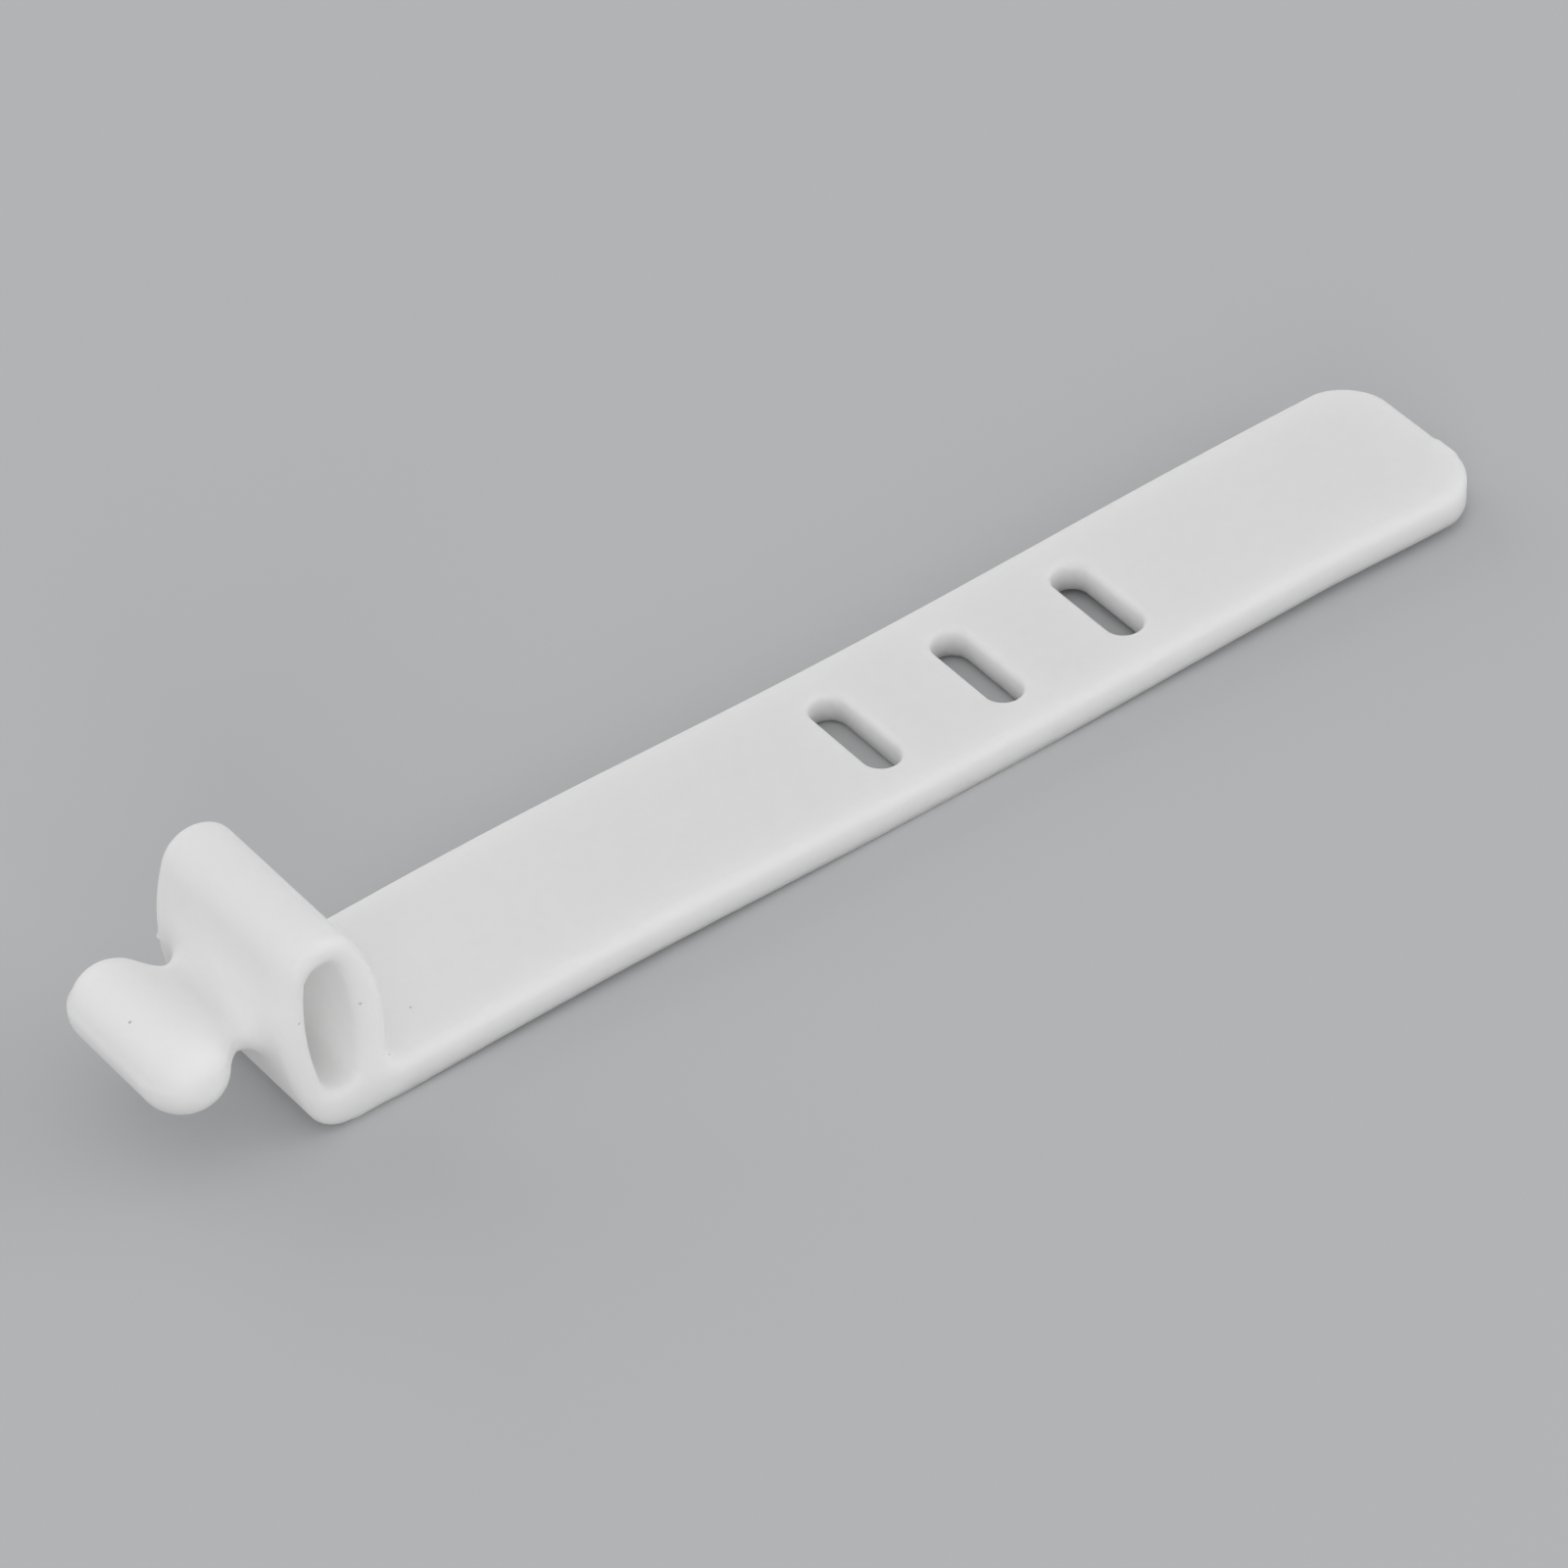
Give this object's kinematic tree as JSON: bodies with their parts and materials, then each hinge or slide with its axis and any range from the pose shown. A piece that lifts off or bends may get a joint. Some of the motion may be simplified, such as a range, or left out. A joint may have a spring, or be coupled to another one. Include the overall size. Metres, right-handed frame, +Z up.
{
  "type": "cable keeper",
  "caption": "Soft one-piece cable keeper: a flat strap with slots across it, a rounded tip, and an upright oval eye whose short neck carries a cross bar that buttons into a slot.",
  "frame": {"origin": "below the middle of the whole piece, on the plane that the strap lies on", "axes": "+X along the strap, from the eye to the tip; +Y across the strap, along the eye's hole and the bar; +Z up, out of the strap's top"},
  "size_m": [0.0974, 0.0134, 0.0147],
  "materials": {
    "silicone": "soft matte, as moulded"
  },
  "bodies": {
    "root": {"keeper": "silicone"}
  },
  "joints": []
}
